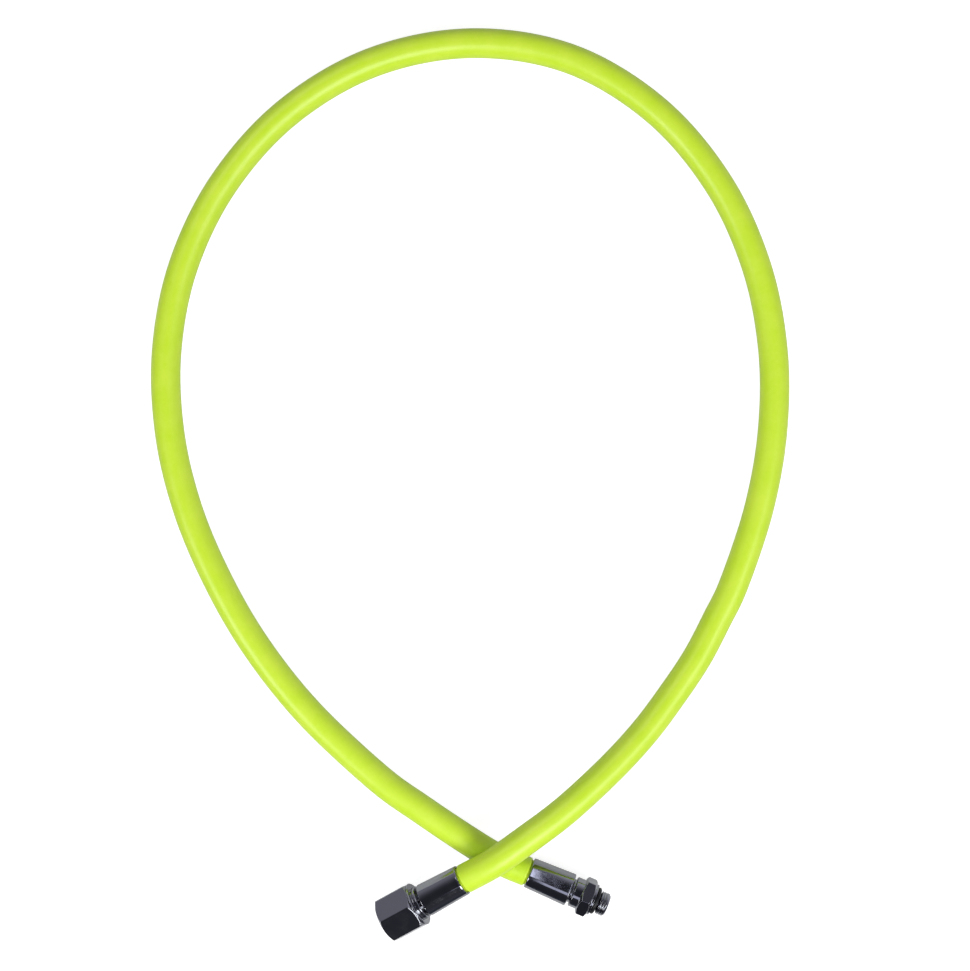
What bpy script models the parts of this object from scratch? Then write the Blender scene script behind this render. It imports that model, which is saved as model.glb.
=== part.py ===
# Diving regulator hose: a rubber low-pressure hose laid in one open loop, with a crimped
# fitting on each end. One end has a male thread for the first stage, the other a swivel
# nut for the second stage. Units are metres, +Z is up, and the hose lies on the plane z = 0.
# The origin is on that plane, under the middle of the two fittings. +X runs along the
# fittings' span, and +Y points from the fittings into the loop.

import math

import bmesh
import bpy
from mathutils import Matrix, Vector

# Clearance between pieces that touch on the real hose
GAP = 0.0003

# Hose: a 12 mm tube with a quarter-inch bore
HOSE_BORE = 0.00635
HOSE_WALL = 0.002825
HOSE_POINT_SPACING = 0.0260
HOSE_BEVEL_RESOLUTION = 4

# Crimped ferrule, the same on both ends. Its mouth stands a little proud of the hose.
FERRULE_LENGTH = 0.0182
FERRULE_PROUD = 0.0003
FERRULE_TAPER = 0.0010
FERRULE_WALL = 0.0008
FERRULE_END_WALL = 0.0015
FERRULE_EDGE = 0.0004

# Barbed tail, the same on both stems
TAIL_SETBACK = 0.0010
TAIL_EASE = 0.000175
TAIL_WALL = 0.0010
BARB_HEIGHT = 0.00045
BARB_COUNT = 4
LOCK_COLLAR_HEIGHT = 0.0016
LOCK_COLLAR_LENGTH = 0.0012
LOCK_GROOVE_DEPTH = 0.0007

# Swivel nut: 9/16-18 thread inside, and walls that make it 11/16 inch across flats
NUT_THREAD_MAJOR = 0.01429
NUT_THREAD_DEPTH = 0.0007
NUT_WALL = 0.001585
NUT_LENGTH = 0.0176
NUT_HUB_WALL = 0.0016
NUT_HUB_LENGTH = 0.0017
NUT_COLLAR_PROUD = 0.0003
NUT_COLLAR_LENGTH = 0.0007
NUT_COLLAR_EDGE = 0.0004
NUT_CHAMFER = 0.0011
NUT_REAR_WALL = 0.0030
NUT_RELIEF_LENGTH = 0.0024
NUT_BEHIND_FERRULE = 0.0009
NUT_ROLL = math.radians(14)

# Stem of the female end: a flange that passes the nut's thread, and a nose with an O-ring
FLANGE_EASE = 0.00035
FLANGE_LIP = 0.0011
FLANGE_LENGTH = 0.0020
NOSE_DIAMETER = 0.0090
NOSE_LENGTH = 0.0056
NOSE_CHAMFER = 0.0005
NOSE_LAND = 0.0016
NOSE_GROOVE_DEPTH = 0.001665

# Male end: 3/8-24 thread, and lips that make the hexagon 9/16 inch across flats
THREAD_MAJOR = 0.009525
THREAD_LENGTH = 0.0040
THREAD_CHAMFER = 0.0009
RELIEF_DEPTH = 0.00114
RELIEF_RUN = 0.0004
SEAT_DEPTH = 0.0003
SHOULDER_LIP = 0.0006
SHOULDER_LENGTH = 0.00095
HEX_LIP = 0.00074
HEX_LENGTH = 0.0047
HEX_CHAMFER = 0.0008
HEX_ROLL = math.radians(-25)
NECK_DIAMETER = 0.0098
NECK_LENGTH = 0.0010
COLLAR_DIAMETER = 0.0124
COLLAR_LENGTH = 0.0036
COLLAR_EDGE = 0.0004

# O-rings: both have the same section, and sit a little off their grooves
RING_SECTION = 0.00178
RING_GAP = 0.0002

# Where each ferrule's hose mouth lies, and which way the fitting points from there
FEMALE_MOUTH_XY = (-0.0127, 0.0096)
FEMALE_HEADING = math.radians(210.3)
FEMALE_SLOPE = math.radians(-10.5)
MALE_MOUTH_XY = (0.0145, 0.0107)
MALE_HEADING = math.radians(-22.5)
MALE_SLOPE = math.radians(3.0)

# How far the hose runs straight on from each ferrule
FEMALE_STRAIGHT = 0.0150
MALE_STRAIGHT = 0.0110

# The hose's route between those straights, from the male end round to the female end. The
# last points climb over the first ones and come down again in a long low hump.
ROUTE = [
    (-0.0083, 0.0222, 0.0060),
    (-0.0292, 0.0361, 0.0060),
    (-0.0478, 0.0496, 0.0060),
    (-0.0762, 0.0764, 0.0060),
    (-0.0977, 0.1037, 0.0060),
    (-0.1137, 0.1316, 0.0060),
    (-0.1257, 0.1606, 0.0060),
    (-0.1328, 0.1916, 0.0060),
    (-0.1338, 0.2249, 0.0060),
    (-0.1269, 0.2593, 0.0060),
    (-0.1106, 0.2925, 0.0060),
    (-0.0847, 0.3214, 0.0060),
    (-0.0500, 0.3419, 0.0060),
    (-0.0097, 0.3499, 0.0060),
    (0.0310, 0.3436, 0.0060),
    (0.0660, 0.3228, 0.0060),
    (0.0916, 0.2930, 0.0060),
    (0.1073, 0.2592, 0.0060),
    (0.1142, 0.2248, 0.0060),
    (0.1141, 0.1916, 0.0060),
    (0.1086, 0.1599, 0.0060),
    (0.0985, 0.1292, 0.0060),
    (0.0913, 0.1141, 0.0061),
    (0.0832, 0.0987, 0.0066),
    (0.0730, 0.0837, 0.0079),
    (0.0613, 0.0686, 0.0102),
    (0.0472, 0.0540, 0.0135),
    (0.0289, 0.0379, 0.0174),
    (0.0125, 0.0259, 0.0192),
]

ROUND_SIDES = 32
RING_SIDES = 8
SPAN_SAMPLES = 12

# Radii about a fitting's axis
hose_radius = HOSE_BORE / 2 + HOSE_WALL
mouth_radius = hose_radius + FERRULE_PROUD
tail_radius = HOSE_BORE / 2 - TAIL_EASE
barb_radius = tail_radius + BARB_HEIGHT
gas_radius = tail_radius - TAIL_WALL
lock_radius = tail_radius + LOCK_COLLAR_HEIGHT
groove_radius = lock_radius - LOCK_GROOVE_DEPTH

nut_major_radius = NUT_THREAD_MAJOR / 2
nut_minor_radius = nut_major_radius - NUT_THREAD_DEPTH
nut_flat_radius = nut_major_radius + NUT_WALL
flange_radius = nut_minor_radius - FLANGE_EASE
shaft_radius = flange_radius - FLANGE_LIP
nose_radius = NOSE_DIAMETER / 2
nose_groove_radius = nose_radius - NOSE_GROOVE_DEPTH
female_ring_radius = nose_groove_radius + RING_GAP + RING_SECTION / 2

thread_radius = THREAD_MAJOR / 2
seat_radius = thread_radius - RELIEF_DEPTH
male_ring_radius = seat_radius + RING_GAP + RING_SECTION / 2
seat_rim_radius = male_ring_radius + RING_SECTION / 2 + RING_GAP
shoulder_radius = seat_rim_radius + SHOULDER_LIP
hex_flat_radius = shoulder_radius + HEX_LIP

# Stations along a fitting's own axis, measured outwards from its ferrule's hose mouth
end_wall_back = FERRULE_LENGTH - FERRULE_END_WALL
groove_back = end_wall_back - GAP
groove_front = FERRULE_LENGTH + GAP
lock_back = groove_back - LOCK_COLLAR_LENGTH
hose_end = lock_back - GAP

nut_back = FERRULE_LENGTH + NUT_BEHIND_FERRULE
nut_collar_back = nut_back + NUT_HUB_LENGTH
nut_collar_front = nut_collar_back + NUT_COLLAR_LENGTH
nut_front = nut_back + NUT_LENGTH
flange_back = nut_back + NUT_REAR_WALL + GAP
nose_back = flange_back + FLANGE_LENGTH
nose_front = nose_back + NOSE_LENGTH
nose_groove_front = nose_front - NOSE_LAND
female_ring_back = nose_groove_front - RING_GAP - RING_SECTION

hex_back = FERRULE_LENGTH + NECK_LENGTH + COLLAR_LENGTH
hex_front = hex_back + HEX_LENGTH
shoulder_front = hex_front + SHOULDER_LENGTH
male_ring_back = shoulder_front - SEAT_DEPTH + RING_GAP
seat_front = shoulder_front + RING_GAP + RING_SECTION
male_front = seat_front + THREAD_LENGTH


def corner_radius(flat_radius):
    """Distance from a hexagon's centre to its corners, from that to its flats."""
    return flat_radius * 2 / math.sqrt(3)


def chamfer_reach(flat_radius, chamfer, radius):
    """How far from a hexagonal bar's end its chamfer has grown to a radius. The chamfer
    starts a gap inside the flats, and meets the corners at its full length."""
    start = flat_radius - GAP
    return chamfer * (radius - start) / (corner_radius(flat_radius) - start)


def clear_scene():
    for thing in list(bpy.data.objects):
        bpy.data.objects.remove(thing, do_unlink=True)


def finish(name, colour, metallic, roughness):
    """A Principled material of one colour, given as linear red, green and blue."""
    material = bpy.data.materials.new(name)
    material.use_nodes = True
    shader = material.node_tree.nodes["Principled BSDF"]
    shader.inputs["Base Color"].default_value = (*colour, 1.0)
    shader.inputs["Metallic"].default_value = metallic
    shader.inputs["Roughness"].default_value = roughness
    return material


def add_object(name, mesh, material=None, parent=None):
    piece = bpy.data.objects.new(name, mesh)
    bpy.context.scene.collection.objects.link(piece)
    piece.parent = parent
    if material is not None:
        mesh.materials.append(material)
    mesh.shade_smooth()
    mesh.set_sharp_from_angle(angle=math.radians(30))
    return piece


def turned_mesh(name, profile, sides=ROUND_SIDES):
    """Spin a profile of (radius, height) points about Z. One that ends on the axis at both
    ends makes a solid bar; any other is joined up into a ring."""
    built = bmesh.new()
    points = [built.verts.new((radius, 0, height)) for radius, height in profile]
    pairs = list(zip(points, points[1:]))
    if profile[0][0] > 0:
        pairs.append((points[-1], points[0]))
    lines = [built.edges.new(pair) for pair in pairs]
    bmesh.ops.spin(
        built, geom=points + lines, cent=(0, 0, 0), axis=(0, 0, 1), angle=math.tau, steps=sides
    )
    bmesh.ops.remove_doubles(built, verts=built.verts, dist=1e-7)
    bmesh.ops.recalc_face_normals(built, faces=built.faces)
    mesh = bpy.data.meshes.new(name)
    built.to_mesh(mesh)
    built.free()
    return mesh


def hex_mesh(name, flat_radius, back, front, first_corner):
    """A hexagonal bar along Z, with one corner at the angle first_corner from X."""
    built = bmesh.new()
    radius = corner_radius(flat_radius)
    angles = [first_corner + math.tau * side / 6 for side in range(6)]
    corners = [built.verts.new((radius * math.cos(a), radius * math.sin(a), back)) for a in angles]
    face = built.faces.new(corners)
    grown = bmesh.ops.extrude_face_region(built, geom=[face])["geom"]
    raised = [item for item in grown if isinstance(item, bmesh.types.BMVert)]
    bmesh.ops.translate(built, verts=raised, vec=(0, 0, front - back))
    bmesh.ops.recalc_face_normals(built, faces=built.faces)
    mesh = bpy.data.meshes.new(name)
    built.to_mesh(mesh)
    built.free()
    return mesh


def combine(piece, tool, operation):
    """Boolean one object into another. The tool stays beside it as a hidden guide."""
    tool.hide_render = True
    tool.display_type = "WIRE"
    boolean = piece.modifiers.new(tool.name, "BOOLEAN")
    boolean.object = tool
    boolean.operation = operation
    boolean.solver = "EXACT"


def combine_turned(piece, name, profile, operation):
    combine(piece, add_object(name, turned_mesh(name, profile), parent=piece.parent), operation)


def chamfered_hex(name, flat_radius, back, front, chamfer, first_corner, material, parent):
    """A hexagonal bar whose corners are turned off at both ends, as on a nut."""
    mesh = hex_mesh(name, flat_radius, back, front, first_corner)
    piece = add_object(name, mesh, material, parent)
    outer = corner_radius(flat_radius) + GAP
    face = flat_radius - GAP
    reach = chamfer_reach(flat_radius, chamfer, outer)
    envelope = [(0, back), (face, back), (outer, back + reach)]
    envelope += [(outer, front - reach), (face, front), (0, front)]
    combine_turned(piece, name + "_chamfer", envelope, "INTERSECT")
    return piece


def fitting_frame(name, mouth_xy, mouth_height, heading, slope):
    """An empty at the ferrule's hose mouth: its Z points outwards along the fitting, and its
    X points up, square to that."""
    outwards = Vector(
        (math.cos(heading) * math.cos(slope), math.sin(heading) * math.cos(slope), math.sin(slope))
    )
    sideways = outwards.cross(Vector((0, 0, 1))).normalized()
    upwards = sideways.cross(outwards).normalized()
    empty = bpy.data.objects.new(name, None)
    bpy.context.scene.collection.objects.link(empty)
    axes = Matrix((upwards, outwards.cross(upwards), outwards)).transposed()
    empty.matrix_world = Matrix.Translation((*mouth_xy, mouth_height)) @ axes.to_4x4()
    return empty


def female_mouth_height():
    """The nut's lowest corner, at the foot of its front chamfer, rests on z = 0."""
    lowest = nut_front - NUT_CHAMFER
    corner = corner_radius(nut_flat_radius) * math.cos(NUT_ROLL)
    return corner * math.cos(FEMALE_SLOPE) - lowest * math.sin(FEMALE_SLOPE)


def male_mouth_height():
    """The hexagon's lowest corner, at the foot of its back chamfer, rests on z = 0."""
    lowest = hex_back + HEX_CHAMFER
    corner = corner_radius(hex_flat_radius) * math.cos(math.radians(30) - abs(HEX_ROLL))
    return corner * math.cos(MALE_SLOPE) - lowest * math.sin(MALE_SLOPE)


def ferrule_radius(station):
    """Outer radius of the ferrule, which widens evenly from its mouth to its front."""
    return mouth_radius + FERRULE_TAPER / 2 * station / FERRULE_LENGTH


def make_ferrule(name, material, parent):
    """A thin crimped cup: the hose's end sits in it, and its end wall locks on the stem."""
    front = FERRULE_LENGTH
    edge = FERRULE_EDGE
    hole = groove_radius + GAP
    profile = [
        (ferrule_radius(0) - FERRULE_WALL, 0),
        (ferrule_radius(0) - edge / 2, 0),
        (ferrule_radius(0), edge),
        (ferrule_radius(front), front - edge),
        (ferrule_radius(front) - edge, front),
        (hole, front),
        (hole, end_wall_back),
        (ferrule_radius(end_wall_back) - FERRULE_WALL, end_wall_back),
    ]
    return add_object(name, turned_mesh(name, profile), material, parent)


def tail_profile():
    """Outer line of a stem from its tip inside the hose to its lock groove's front."""
    points = [(tail_radius, TAIL_SETBACK)]
    pitch = (lock_back - TAIL_SETBACK) / (BARB_COUNT + 1)
    for barb in range(BARB_COUNT):
        crest = TAIL_SETBACK + pitch * (barb + 1)
        points += [(barb_radius, crest), (tail_radius, crest)]
    points += [(tail_radius, lock_back), (lock_radius, lock_back), (lock_radius, groove_back)]
    points += [(groove_radius, groove_back), (groove_radius, groove_front)]
    return points


def make_female_stem(material, parent):
    """Barbed stem that the nut turns on: its flange bears on the nut's rear wall from the
    inside, and its nose carries the O-ring."""
    groove_start = female_ring_back - RING_GAP
    profile = tail_profile() + [
        (shaft_radius, groove_front),
        (shaft_radius, flange_back),
        (flange_radius, flange_back),
        (flange_radius, nose_back),
        (nose_radius, nose_back),
        (nose_radius, groove_start),
        (nose_groove_radius, groove_start),
        (nose_groove_radius, nose_groove_front),
        (nose_radius, nose_groove_front),
        (nose_radius, nose_front - NOSE_CHAMFER),
        (nose_radius - NOSE_CHAMFER, nose_front),
        (gas_radius, nose_front),
        (gas_radius, TAIL_SETBACK),
    ]
    return add_object("female_stem", turned_mesh("female_stem", profile), material, parent)


def make_male_stem(material, parent):
    """Barbed stem with a wrench hexagon, a shoulder that bears on the first stage, and the
    threaded nose that screws into its port."""
    neck = NECK_DIAMETER / 2
    collar = COLLAR_DIAMETER / 2
    collar_back = FERRULE_LENGTH + NECK_LENGTH
    hex_middle = (hex_back + hex_front) / 2
    profile = [(0, TAIL_SETBACK)] + tail_profile() + [
        (neck, groove_front),
        (neck, collar_back),
        (collar - COLLAR_EDGE, collar_back),
        (collar, collar_back + COLLAR_EDGE),
        (collar, hex_middle),
        (shoulder_radius, hex_middle),
        (shoulder_radius, shoulder_front),
        (seat_rim_radius, shoulder_front),
        (seat_rim_radius, shoulder_front - SEAT_DEPTH),
        (seat_radius, shoulder_front - SEAT_DEPTH),
        (seat_radius, seat_front),
        (thread_radius, seat_front + RELIEF_RUN),
        (thread_radius, male_front - THREAD_CHAMFER),
        (thread_radius - THREAD_CHAMFER, male_front),
        (0, male_front),
    ]
    stem = add_object("male_stem", turned_mesh("male_stem", profile), material, parent)
    corner = math.radians(30) + HEX_ROLL
    hexagon = chamfered_hex(
        "male_hexagon", hex_flat_radius, hex_back, hex_front, HEX_CHAMFER, corner, material, parent
    )
    combine(stem, hexagon, "UNION")
    bore = [(0, 0), (gas_radius, 0), (gas_radius, male_front + GAP), (0, male_front + GAP)]
    combine_turned(stem, "male_gas_bore", bore, "DIFFERENCE")
    return stem


def make_swivel_nut(material, parent):
    """Hexagon nut with a thin round collar and a hub behind it. Its rear wall is trapped
    between the ferrule and the stem's flange, and it turns freely."""
    nut = chamfered_hex(
        "swivel_nut", nut_flat_radius, nut_collar_front, nut_front, NUT_CHAMFER, 0, material, parent
    )
    collar = nut_flat_radius + NUT_COLLAR_PROUD
    hole = shaft_radius + GAP
    hub = hole + NUT_HUB_WALL
    collar_profile = [
        (0, nut_back),
        (hub, nut_back),
        (hub, nut_collar_back),
        (collar - NUT_COLLAR_EDGE, nut_collar_back),
        (collar, nut_collar_back + NUT_COLLAR_EDGE),
        (collar, nut_collar_front),
        (nut_minor_radius, nut_collar_front + GAP),
        (0, nut_collar_front + GAP),
    ]
    combine_turned(nut, "nut_collar", collar_profile, "UNION")
    wall_front = nut_back + NUT_REAR_WALL
    relief_front = wall_front + NUT_RELIEF_LENGTH
    bore = [
        (0, nut_back - GAP),
        (hole, nut_back - GAP),
        (hole, wall_front),
        (nut_major_radius, wall_front),
        (nut_major_radius, relief_front),
        (nut_minor_radius, relief_front + NUT_THREAD_DEPTH),
        (nut_minor_radius, nut_front - NUT_THREAD_DEPTH),
        (nut_major_radius + GAP, nut_front + GAP),
        (0, nut_front + GAP),
    ]
    combine_turned(nut, "nut_bore", bore, "DIFFERENCE")
    return nut


def make_ring(name, middle_radius, back, material, parent):
    """An O-ring whose section is a circle, starting at the station back."""
    section = RING_SECTION / 2
    profile = []
    for step in range(RING_SIDES):
        angle = math.tau * step / RING_SIDES
        radius = middle_radius + section * math.cos(angle)
        profile.append((radius, back + section - section * math.sin(angle)))
    return add_object(name, turned_mesh(name, profile), material, parent)


def along(frame, station):
    """The point on a fitting's axis at a station, in world coordinates."""
    return frame.matrix_world @ Vector((0, 0, station))


def smooth_route(points):
    """Catmull-Rom curve through all the points but the first and last, as close points."""
    smooth = []
    for before, start, end, after in zip(points, points[1:], points[2:], points[3:]):
        for sample in range(SPAN_SAMPLES):
            t = sample / SPAN_SAMPLES
            smooth.append(
                (
                    2 * start
                    + (end - before) * t
                    + (2 * before - 5 * start + 4 * end - after) * t**2
                    + (3 * start - before - 3 * end + after) * t**3
                )
                / 2
            )
    smooth.append(points[-2].copy())
    return smooth


def evenly_spaced(points, spacing):
    """Points at equal distances along a line of close points, with both its ends."""
    reach = [0.0]
    for start, end in zip(points, points[1:]):
        reach.append(reach[-1] + (end - start).length)
    count = round(reach[-1] / spacing)
    picked = []
    index = 0
    for step in range(count + 1):
        target = reach[-1] * step / count
        while index < len(reach) - 2 and reach[index + 1] < target:
            index += 1
        share = (target - reach[index]) / (reach[index + 1] - reach[index])
        picked.append(points[index].lerp(points[index + 1], share))
    return picked


def tube_mesh(name, stations):
    """A tube with closed ends through (point, radius) stations, from a bevelled curve."""
    curve = bpy.data.curves.new(name, "CURVE")
    curve.dimensions = "3D"
    curve.bevel_depth = 1.0
    curve.bevel_resolution = HOSE_BEVEL_RESOLUTION
    curve.render_resolution_u = 0
    curve.use_fill_caps = True
    line = curve.splines.new("POLY")
    line.points.add(len(stations) - 1)
    for target, (point, radius) in zip(line.points, stations):
        target.co = (*point, 1.0)
        target.radius = radius
    holder = bpy.data.objects.new(name, curve)
    bpy.context.scene.collection.objects.link(holder)
    bpy.context.view_layer.update()
    mesh = bpy.data.meshes.new_from_object(holder.evaluated_get(bpy.context.evaluated_depsgraph_get()))
    mesh.name = name
    bpy.data.objects.remove(holder)
    built = bmesh.new()
    built.from_mesh(mesh)
    bmesh.ops.remove_doubles(built, verts=built.verts, dist=1e-6)
    bmesh.ops.recalc_face_normals(built, faces=built.faces)
    built.to_mesh(mesh)
    built.free()
    return mesh


def make_hose(male_end, female_end, material):
    """The hose follows its route, and narrows into each ferrule, where the crimp squeezes it
    on to the stem's barbs."""
    control = [along(male_end, hose_end), along(male_end, 0), along(male_end, -MALE_STRAIGHT)]
    control += [Vector(point) for point in ROUTE]
    control += [along(female_end, -FEMALE_STRAIGHT), along(female_end, 0), along(female_end, hose_end)]
    free = evenly_spaced(smooth_route(control), HOSE_POINT_SPACING)
    for point in free:
        point.z = max(point.z, hose_radius)
    squeezed_mouth = ferrule_radius(0) - FERRULE_WALL - GAP
    squeezed_end = ferrule_radius(hose_end) - FERRULE_WALL - GAP
    neck = GAP + hose_radius - squeezed_mouth
    stretched = (barb_radius + GAP) / math.cos(math.pi / (4 + 2 * HOSE_BEVEL_RESOLUTION))

    def stations(outer, mouth, end, overrun):
        """Stations from the male end to the female end, for the outside or for the bore."""
        line = [(along(male_end, hose_end + overrun), end), (along(male_end, -GAP), mouth)]
        line.append((along(male_end, -neck), outer))
        line += [(point, outer) for point in free[1:-1]]
        line.append((along(female_end, -neck), outer))
        line += [(along(female_end, -GAP), mouth), (along(female_end, hose_end + overrun), end)]
        return line

    outside = stations(hose_radius, squeezed_mouth, squeezed_end, 0)
    inside = stations(HOSE_BORE / 2, stretched, stretched, GAP)
    hose = add_object("hose", tube_mesh("hose", outside), material)
    bore = add_object("hose_bore", tube_mesh("hose_bore", inside))
    combine(hose, bore, "DIFFERENCE")
    return hose


def build():
    clear_scene()
    rubber = finish("yellow_hose_rubber", (0.56, 0.77, 0.075), 0.0, 0.45)
    chrome = finish("chromed_brass", (0.55, 0.56, 0.58), 1.0, 0.12)
    seal = finish("black_nitrile", (0.015, 0.015, 0.017), 0.0, 0.5)

    female_end = fitting_frame(
        "female_end", FEMALE_MOUTH_XY, female_mouth_height(), FEMALE_HEADING, FEMALE_SLOPE
    )
    male_end = fitting_frame("male_end", MALE_MOUTH_XY, male_mouth_height(), MALE_HEADING, MALE_SLOPE)
    nut_axis = bpy.data.objects.new("nut_axis", None)
    bpy.context.scene.collection.objects.link(nut_axis)
    nut_axis.parent = female_end
    nut_axis.rotation_euler = (0, 0, NUT_ROLL)
    bpy.context.view_layer.update()

    make_hose(male_end, female_end, rubber)
    make_ferrule("female_ferrule", chrome, female_end)
    make_female_stem(chrome, female_end)
    make_ring("female_o_ring", female_ring_radius, female_ring_back, seal, female_end)
    make_swivel_nut(chrome, nut_axis)
    make_ferrule("male_ferrule", chrome, male_end)
    make_male_stem(chrome, male_end)
    make_ring("male_o_ring", male_ring_radius, male_ring_back, seal, male_end)


build()
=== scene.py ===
import math

import bpy
import numpy as np
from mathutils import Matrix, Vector


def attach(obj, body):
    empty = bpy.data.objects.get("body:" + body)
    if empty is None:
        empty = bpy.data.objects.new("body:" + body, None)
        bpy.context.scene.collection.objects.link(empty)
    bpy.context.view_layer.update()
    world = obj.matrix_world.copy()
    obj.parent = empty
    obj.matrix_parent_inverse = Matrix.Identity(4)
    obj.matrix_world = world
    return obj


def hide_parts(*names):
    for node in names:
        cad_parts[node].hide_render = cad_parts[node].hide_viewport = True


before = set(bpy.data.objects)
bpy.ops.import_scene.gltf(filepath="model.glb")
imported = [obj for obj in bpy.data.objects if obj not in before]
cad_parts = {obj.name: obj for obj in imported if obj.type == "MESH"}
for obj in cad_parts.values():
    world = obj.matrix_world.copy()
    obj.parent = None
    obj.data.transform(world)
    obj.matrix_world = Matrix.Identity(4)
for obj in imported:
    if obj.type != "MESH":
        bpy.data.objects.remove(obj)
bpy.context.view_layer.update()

# A diving regulator hose lying in one loop on a white sheet, seen from straight above.
# Metres throughout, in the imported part's own frame.

mm = 0.001


# Camera: a longish lens looking straight down on the loop
cameraLook = {
    "place": (-0.0036, 0.1689, 0.800),
    "sensorWidth": 36.0,  # mm
    "lens": 72.0,  # mm, so the view is half as wide as it is far
    "nearest": 0.01,
    "furthest": 20.0,
}


def makeCamera(look):
    lens = bpy.data.cameras.new("overheadCamera")
    lens.sensor_fit = "HORIZONTAL"
    lens.sensor_width = look["sensorWidth"]
    lens.lens = look["lens"]
    lens.clip_start = look["nearest"]
    lens.clip_end = look["furthest"]
    camera = bpy.data.objects.new("overheadCamera", lens)
    camera.location = look["place"]  # no turn: it looks along -Z with +Y up the picture
    bpy.context.scene.collection.objects.link(camera)
    bpy.context.scene.camera = camera


makeCamera(cameraLook)
print("camera set")


# The sizes that several pieces share, as the solids have them
gap = 0.3 * mm  # between pieces that touch on the real hose
sides = 96  # steps round a turned piece
hoseRadius = 6.0 * mm
boreRadius = 3.175 * mm
gasRadius = 2.0 * mm
ferruleFront = 18.2 * mm  # stations run outwards along a fitting from its hose mouth
hoseEnd = 14.9 * mm  # how deep the hose goes into a ferrule
tailTip = 1.0 * mm
softEdge = 0.1 * mm  # rounding of a turned edge
hexSoftEdge = 0.08 * mm

maleEnd = {"mouth": (0.0145, 0.0107, 0.006970), "heading": -22.5, "slope": 3.0}
femaleEnd = {"mouth": (-0.0127, 0.0096, 0.016105), "heading": 210.3, "slope": -10.5}


def fittingAxes(end):
    # Origin and axes of a fitting. Outwards is (cos h cos s, sin h cos s, sin s) for the
    # heading h and slope s; upwards is square to it in the vertical plane; across is
    # outwards x upwards. The columns are upwards, across, outwards.
    heading, slope = math.radians(end["heading"]), math.radians(end["slope"])
    outwards = np.array(
        [math.cos(heading) * math.cos(slope), math.sin(heading) * math.cos(slope), math.sin(slope)]
    )
    level = np.cross(outwards, (0, 0, 1))
    upwards = np.cross(level / np.linalg.norm(level), outwards)
    across = np.cross(outwards, upwards)
    return np.array(end["mouth"]), np.stack([upwards, across, outwards], axis=1)


def onAxis(end, station):
    # The point mouth + station * outwards.
    origin, axes = fittingAxes(end)
    return origin + axes[:, 2] * station


def loopMesh(name, grid, uv):
    # A closed surface from a grid of points (rings, steps, 3) that joins up both ways, like
    # a ring doughnut. Face (i, j) has the corners (i, j), (i, j+1), (i+1, j+1), (i+1, j). The
    # sum of a . (b x c) over its triangles is six times its volume, and where that is
    # negative the faces are turned over. uv holds real metres round and along the surface.
    rings, steps = grid.shape[:2]
    points = grid.reshape(-1, 3)
    i, j = np.meshgrid(np.arange(rings), np.arange(steps), indexing="ij")
    iNext, jNext = (i + 1) % rings, (j + 1) % steps
    corners = [i * steps + j, i * steps + jNext, iNext * steps + jNext, iNext * steps + j]
    faces = np.stack(corners, axis=-1).reshape(-1, 4)
    # the map's own grid has one more ring and step, so that no face spans its seam
    mapCorners = [(i, j), (i, j + 1), (i + 1, j + 1), (i + 1, j)]
    faceUv = np.stack([uv[a, b] for a, b in mapCorners], axis=-2).reshape(-1, 4, 2)
    a, b, c, d = (points[faces[:, k]] for k in range(4))
    volume = (a * np.cross(b, c)).sum() + (a * np.cross(c, d)).sum()
    if volume < 0:
        faces, faceUv = faces[:, ::-1], faceUv[:, ::-1]
    mesh = bpy.data.meshes.new(name)
    mesh.from_pydata(points.tolist(), [], faces.tolist())
    layer = mesh.uv_layers.new(name="surface")
    layer.data.foreach_set("uv", np.ascontiguousarray(faceUv, np.float32).ravel())
    mesh.shade_smooth()
    mesh.update()
    piece = bpy.data.objects.new(name, mesh)
    bpy.context.scene.collection.objects.link(piece)
    return piece


def softLine(corners, soft, steps=4, most=0.3, hold=0.6):
    # An outline whose inner corners are rounded. Between the points a and b that lie soft
    # before and after a corner p, and no further than the share most of the shorter side,
    # the line is (1-t)^2 a + 2t(1-t) p + t^2 b. One more point on each side, at the share
    # hold of that reach, holds the shading of the straight part flat.
    p = np.array(corners, float)
    before, after = p[1:-1] - p[:-2], p[2:] - p[1:-1]
    shortest = np.minimum(np.linalg.norm(before, axis=1), np.linalg.norm(after, axis=1))
    reach = np.minimum(soft, most * shortest)[:, None, None]
    back = (before / np.linalg.norm(before, axis=1)[:, None])[:, None]
    on = (after / np.linalg.norm(after, axis=1)[:, None])[:, None]
    middle = p[1:-1][:, None]
    a, b = middle - reach * back, middle + reach * on
    t = np.linspace(0, 1, steps)[None, :, None]
    bend = (1 - t) ** 2 * a + 2 * t * (1 - t) * middle + t**2 * b
    held = [a - hold * reach * back, bend, b + hold * reach * on]
    rounded = np.concatenate(held, axis=1).reshape(-1, 2)
    return np.concatenate([p[:1], rounded, p[-1:]])


def turnedRings(line, angles):
    # Rings of a profile of (radius, station) points spun through all the angles.
    line = np.asarray(line, float)
    ones = np.ones(len(angles))
    return np.stack([np.outer(line[:, 0], ones), np.outer(line[:, 1], ones)], axis=-1)


def placedRings(rings, angles, end, roll=0.0):
    # Each ring point (radius, station) at the angle q goes to
    # mouth + radius cos(q) upwards + radius sin(q) across + station outwards.
    origin, axes = fittingAxes(end)
    q = np.asarray(angles) + roll
    radius, station = rings[..., 0], rings[..., 1]
    local = np.stack([radius * np.cos(q), radius * np.sin(q), station], axis=-1)
    return origin + local @ axes.T


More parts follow.
